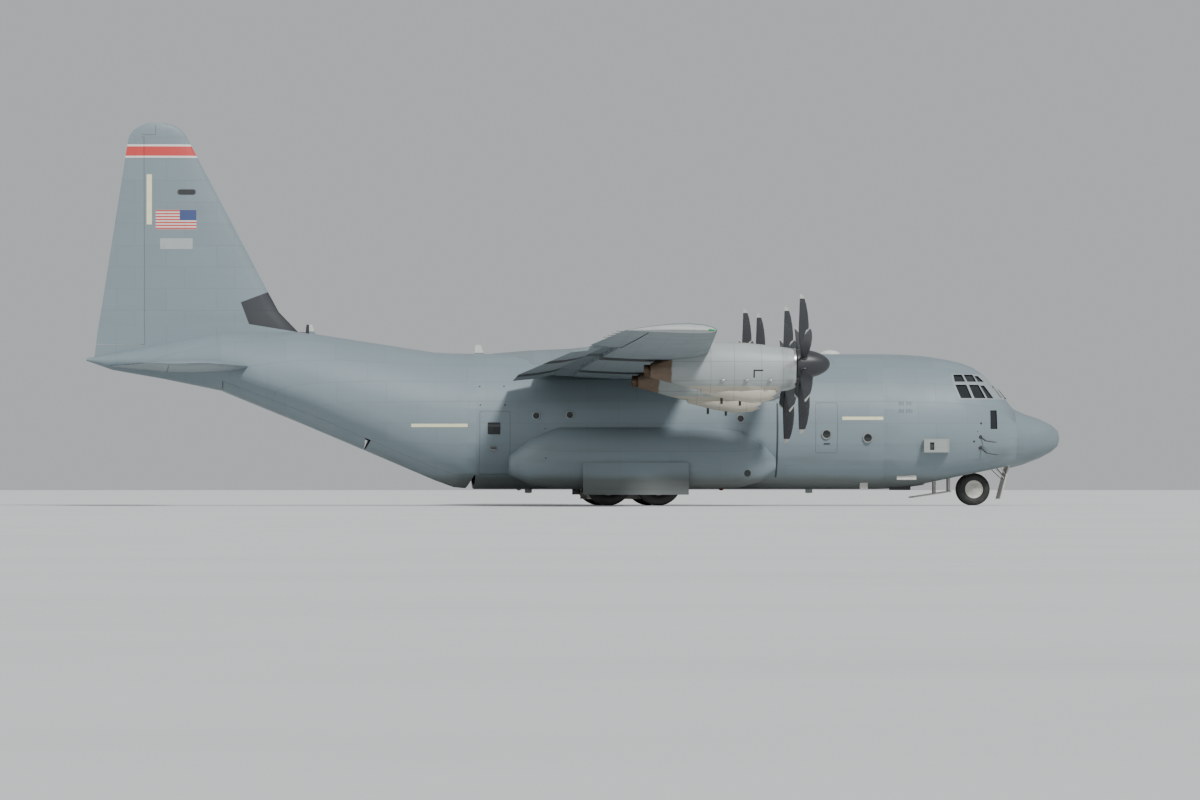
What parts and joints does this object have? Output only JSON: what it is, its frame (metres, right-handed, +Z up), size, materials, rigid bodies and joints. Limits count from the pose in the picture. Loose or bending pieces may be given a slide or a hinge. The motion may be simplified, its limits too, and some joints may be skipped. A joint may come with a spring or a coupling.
{
  "type": "four-engined turboprop military transport aeroplane, 1:2 scale model",
  "caption": "High-wing turboprop transport aeroplane parked on its gear, with turning propellers and wheels, rear ramp, doors and control surfaces.",
  "frame": {"origin": "on the ground under the middle of the bounding box", "axes": "+X forward, +Y to the left wing tip, +Z up"},
  "size_m": [14.895, 20.205, 5.83],
  "materials": {
    "hull_paint": "satin",
    "wing_paint": "satin",
    "nacelle_paint": "satin",
    "radome_dark": "satin",
    "glass_tinted": "gloss",
    "cabin_grey": "matte",
    "well_pale": "satin",
    "engine_metal": "satin",
    "propeller_dark": "satin",
    "gear_steel": "satin",
    "tyre_black": "matte"
  },
  "bodies": {
    "airframe": {"nose_section": "hull_paint", "centre_fuselage": "hull_paint", "aft_fuselage": "hull_paint", "para_door_left": "hull_paint", "para_door_right": "hull_paint", "sponson_left": "hull_paint", "sponson_right": "hull_paint", "centre_wing": "wing_paint", "tail_cone": "wing_paint", "fin": "wing_paint", "tailplane": "wing_paint", "outer_wing_left": "wing_paint", "outer_wing_right": "wing_paint", "inner_flap_left": "wing_paint", "inner_flap_right": "wing_paint", "outer_flap_left": "wing_paint", "outer_flap_right": "wing_paint", "outer_gear_door_left": "wing_paint", "outer_gear_door_right": "wing_paint", "nacelle_1": "nacelle_paint", "nacelle_2": "nacelle_paint", "nacelle_3": "nacelle_paint", "nacelle_4": "nacelle_paint", "radome": "radome_dark", "cockpit_glass": "glass_tinted", "flight_deck": "cabin_grey", "cargo_floor": "cabin_grey", "nose_bay": "well_pale", "nose_door_front": "well_pale", "nose_door_rear": "well_pale", "inner_gear_door_left": "well_pale", "inner_gear_door_right": "well_pale", "engine_1": "engine_metal", "engine_2": "engine_metal", "engine_3": "engine_metal", "engine_4": "engine_metal", "nose_leg": "gear_steel", "main_leg_left": "gear_steel", "main_leg_right": "gear_steel"},
    "propeller_1": {"propeller_1": "propeller_dark"},
    "propeller_2": {"propeller_2": "propeller_dark"},
    "propeller_3": {"propeller_3": "propeller_dark"},
    "propeller_4": {"propeller_4": "propeller_dark"},
    "nose_fork": {"nose_fork": "gear_steel"},
    "nose_wheels": {"nose_wheels": "tyre_black"},
    "crew_door": {"crew_door": "hull_paint"},
    "cargo_ramp": {"cargo_ramp": "wing_paint"},
    "cargo_door": {"cargo_door": "hull_paint"},
    "rudder": {"rudder": "wing_paint"},
    "aileron_left": {"aileron_left": "wing_paint"},
    "aileron_right": {"aileron_right": "wing_paint"},
    "elevator_left": {"elevator_left": "wing_paint"},
    "elevator_right": {"elevator_right": "wing_paint"},
    "main_wheel_left_front": {"main_wheel_left_front": "tyre_black"},
    "main_wheel_left_rear": {"main_wheel_left_rear": "tyre_black"},
    "main_wheel_right_front": {"main_wheel_right_front": "tyre_black"},
    "main_wheel_right_rear": {"main_wheel_right_rear": "tyre_black"}
  },
  "joints": [
    {"name": "propeller_1_spin", "type": "hinge", "parent": "airframe", "child": "propeller_1", "pos_m": [3.0525, 5.08, 2.09], "axis": [1, 0, 0], "continuous": true},
    {"name": "propeller_2_spin", "type": "hinge", "parent": "airframe", "child": "propeller_2", "pos_m": [3.0525, 2.49, 1.965], "axis": [1, 0, 0], "continuous": true},
    {"name": "propeller_3_spin", "type": "hinge", "parent": "airframe", "child": "propeller_3", "pos_m": [3.0525, -2.49, 1.965], "axis": [1, 0, 0], "continuous": true},
    {"name": "propeller_4_spin", "type": "hinge", "parent": "airframe", "child": "propeller_4", "pos_m": [3.0525, -5.08, 2.09], "axis": [1, 0, 0], "continuous": true},
    {"name": "main_wheel_left_front_spin", "type": "hinge", "parent": "airframe", "child": "main_wheel_left_front", "pos_m": [1.2025, 1.0875, 0.3555], "axis": [0, 1, 0], "continuous": true},
    {"name": "main_wheel_left_rear_spin", "type": "hinge", "parent": "airframe", "child": "main_wheel_left_rear", "pos_m": [0.4425, 1.0875, 0.3555], "axis": [0, 1, 0], "continuous": true},
    {"name": "main_wheel_right_front_spin", "type": "hinge", "parent": "airframe", "child": "main_wheel_right_front", "pos_m": [1.2025, -1.0875, 0.3555], "axis": [0, 1, 0], "continuous": true},
    {"name": "main_wheel_right_rear_spin", "type": "hinge", "parent": "airframe", "child": "main_wheel_right_rear", "pos_m": [0.4425, -1.0875, 0.3555], "axis": [0, 1, 0], "continuous": true},
    {"name": "nose_steering", "type": "hinge", "parent": "airframe", "child": "nose_fork", "pos_m": [6.1125, 0, 0.465], "axis": [0, 0, 1], "range_deg": [-60, 60]},
    {"name": "nose_wheels_spin", "type": "hinge", "parent": "nose_fork", "child": "nose_wheels", "pos_m": [6.1125, 0, 0.2475], "axis": [0, 1, 0], "continuous": true},
    {"name": "crew_door_hinge", "type": "hinge", "parent": "airframe", "child": "crew_door", "pos_m": [5.3075, 0.79812, 0.5375], "axis": [-0.9947, 0.1027, 0], "range_deg": [0, 112]},
    {"name": "cargo_ramp_hinge", "type": "hinge", "parent": "airframe", "child": "cargo_ramp", "pos_m": [-1.5825, 0, 0.4925], "axis": [0, -1, 0], "range_deg": [0, 27.5]},
    {"name": "cargo_door_hinge", "type": "hinge", "parent": "airframe", "child": "cargo_door", "pos_m": [-5.3625, 0, 2.025], "axis": [0, -1, 0], "range_deg": [0, 22]},
    {"name": "aileron_left_hinge", "type": "hinge", "parent": "airframe", "child": "aileron_left", "pos_m": [0.32853, 8.5, 2.43353], "axis": [0.0632, 0.9968, 0.0479], "range_deg": [-25, 25]},
    {"name": "aileron_right_hinge", "type": "hinge", "parent": "airframe", "child": "aileron_right", "pos_m": [0.32853, -8.5, 2.43353], "axis": [-0.0632, 0.9968, -0.0479], "range_deg": [-25, 25]},
    {"name": "rudder_hinge", "type": "hinge", "parent": "airframe", "child": "rudder", "pos_m": [-6.5925, 0, 4], "axis": [0, 0, 1], "range_deg": [-30, 30]},
    {"name": "elevator_left_hinge", "type": "hinge", "parent": "airframe", "child": "elevator_left", "pos_m": [-6.2625, 2.1625, 2.115], "axis": [0, 1, 0], "range_deg": [-20, 40]},
    {"name": "elevator_right_hinge", "type": "hinge", "parent": "airframe", "child": "elevator_right", "pos_m": [-6.2625, -2.1625, 2.115], "axis": [0, 1, 0], "range_deg": [-20, 40]}
  ],
  "couplings": [
    {"joint": "aileron_right_hinge", "follows": "aileron_left_hinge", "ratio": -1},
    {"joint": "elevator_right_hinge", "follows": "elevator_left_hinge", "ratio": 1}
  ]
}
